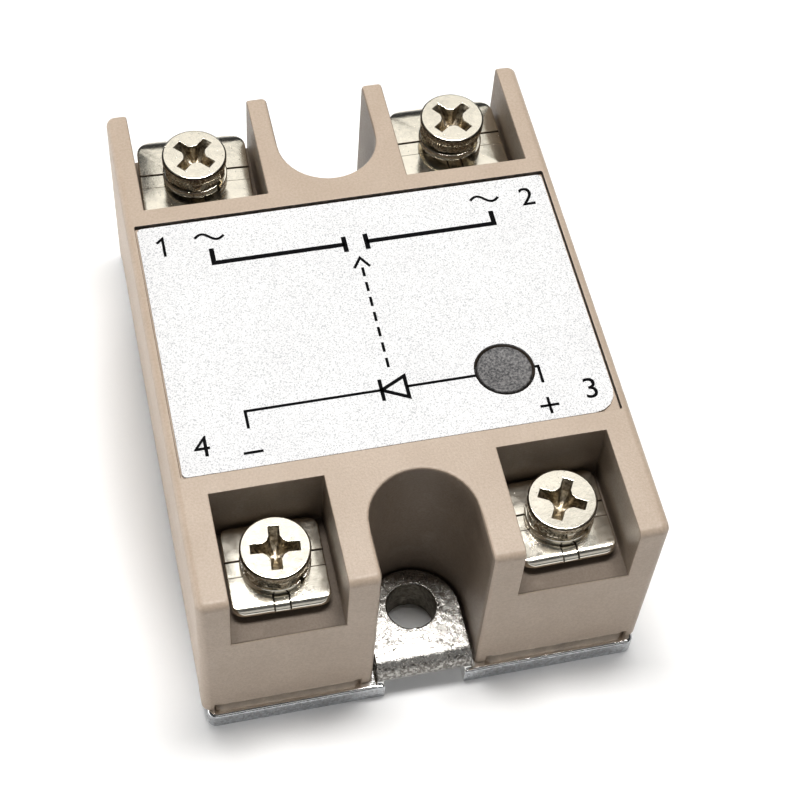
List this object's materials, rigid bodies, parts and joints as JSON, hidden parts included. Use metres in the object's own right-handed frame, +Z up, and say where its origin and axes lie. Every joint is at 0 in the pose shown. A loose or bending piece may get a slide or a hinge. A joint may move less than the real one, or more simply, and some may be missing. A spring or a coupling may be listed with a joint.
{
  "type": "solid state relay",
  "caption": "Panel mounted solid state relay: plastic housing on a metal base plate, open corner bays with screw clamp terminals, face label and indicator window.",
  "frame": {"origin": "centre of the underside of the base plate", "axes": "+X across the relay, +Y along it from the input end to the output end, +Z up out of the label"},
  "size_m": [0.045, 0.0614, 0.024],
  "materials": {
    "housing_plastic": "beige moulding, fine satin grain",
    "base_metal": "bright plate with rough cast mounting pads",
    "sealant": "cured resin, glossy and uneven",
    "label_film": "white film with fine grey speckle and black print",
    "smoked_lens": "dark smoked lens",
    "lamp_epoxy": "red epoxy",
    "plated_steel": "bright nickel plate, warm",
    "tinned_copper": "tinned",
    "ceramic": "white alumina",
    "black_epoxy": "moulded black epoxy",
    "board_laminate": "green solder mask",
    "capacitor_case": "blue boxed film",
    "resistor_paint": "tan coating"
  },
  "bodies": {
    "relay": {"housing": "housing_plastic", "base_plate": "base_metal", "base_sealant": "sealant", "face_label": "label_film", "indicator_window": "smoked_lens", "indicator_lamp": "lamp_epoxy", "terminal_strap_1": "tinned_copper", "terminal_strap_2": "tinned_copper", "terminal_strap_3": "tinned_copper", "terminal_strap_4": "tinned_copper", "insulator_plate": "ceramic", "triac_tab": "tinned_copper", "triac_case": "black_epoxy", "triac_lead_1": "tinned_copper", "triac_lead_2": "tinned_copper", "triac_lead_3": "tinned_copper", "circuit_board": "board_laminate", "optocoupler": "black_epoxy", "snubber_capacitor": "capacitor_case", "snubber_resistor": "resistor_paint", "gate_resistor": "resistor_paint", "input_resistor": "resistor_paint", "input_diode": "black_epoxy", "input_transistor": "black_epoxy"},
    "clamp_unit_1": {"clamp_plate_1": "plated_steel", "spring_washer_1": "plated_steel"},
    "screw_unit_1": {"terminal_screw_1": "plated_steel"},
    "clamp_unit_2": {"clamp_plate_2": "plated_steel", "spring_washer_2": "plated_steel"},
    "screw_unit_2": {"terminal_screw_2": "plated_steel"},
    "clamp_unit_3": {"clamp_plate_3": "plated_steel", "spring_washer_3": "plated_steel"},
    "screw_unit_3": {"terminal_screw_3": "plated_steel"},
    "clamp_unit_4": {"clamp_plate_4": "plated_steel", "spring_washer_4": "plated_steel"},
    "screw_unit_4": {"terminal_screw_4": "plated_steel"}
  },
  "joints": [
    {"name": "clamp_lift_1", "type": "slide", "parent": "relay", "child": "clamp_unit_1", "axis": [0, 0, 1], "range_m": [-0.00175, 0.00175]},
    {"name": "screw_turn_1", "type": "hinge", "parent": "clamp_unit_1", "child": "screw_unit_1", "pos_m": [-0.014, 0.0236, 0.0188], "axis": [0, 0, 1], "range_deg": [-900, 900]},
    {"name": "clamp_lift_2", "type": "slide", "parent": "relay", "child": "clamp_unit_2", "axis": [0, 0, 1], "range_m": [-0.00175, 0.00175]},
    {"name": "screw_turn_2", "type": "hinge", "parent": "clamp_unit_2", "child": "screw_unit_2", "pos_m": [0.014, 0.0236, 0.0188], "axis": [0, 0, 1], "range_deg": [-900, 900]},
    {"name": "clamp_lift_3", "type": "slide", "parent": "relay", "child": "clamp_unit_3", "axis": [0, 0, 1], "range_m": [0, 0.0035]},
    {"name": "screw_turn_3", "type": "hinge", "parent": "clamp_unit_3", "child": "screw_unit_3", "pos_m": [0.014, -0.0231, 0.0188], "axis": [0, 0, 1], "range_deg": [0, 1800]},
    {"name": "clamp_lift_4", "type": "slide", "parent": "relay", "child": "clamp_unit_4", "axis": [0, 0, 1], "range_m": [0, 0.0035]},
    {"name": "screw_turn_4", "type": "hinge", "parent": "clamp_unit_4", "child": "screw_unit_4", "pos_m": [-0.014, -0.0231, 0.0188], "axis": [0, 0, 1], "range_deg": [0, 1800]}
  ],
  "couplings": [
    {"joint": "screw_turn_1", "follows": "clamp_lift_1", "rad_per_m": 8976},
    {"joint": "screw_turn_2", "follows": "clamp_lift_2", "rad_per_m": 8976},
    {"joint": "screw_turn_3", "follows": "clamp_lift_3", "rad_per_m": 8976},
    {"joint": "screw_turn_4", "follows": "clamp_lift_4", "rad_per_m": 8976}
  ]
}
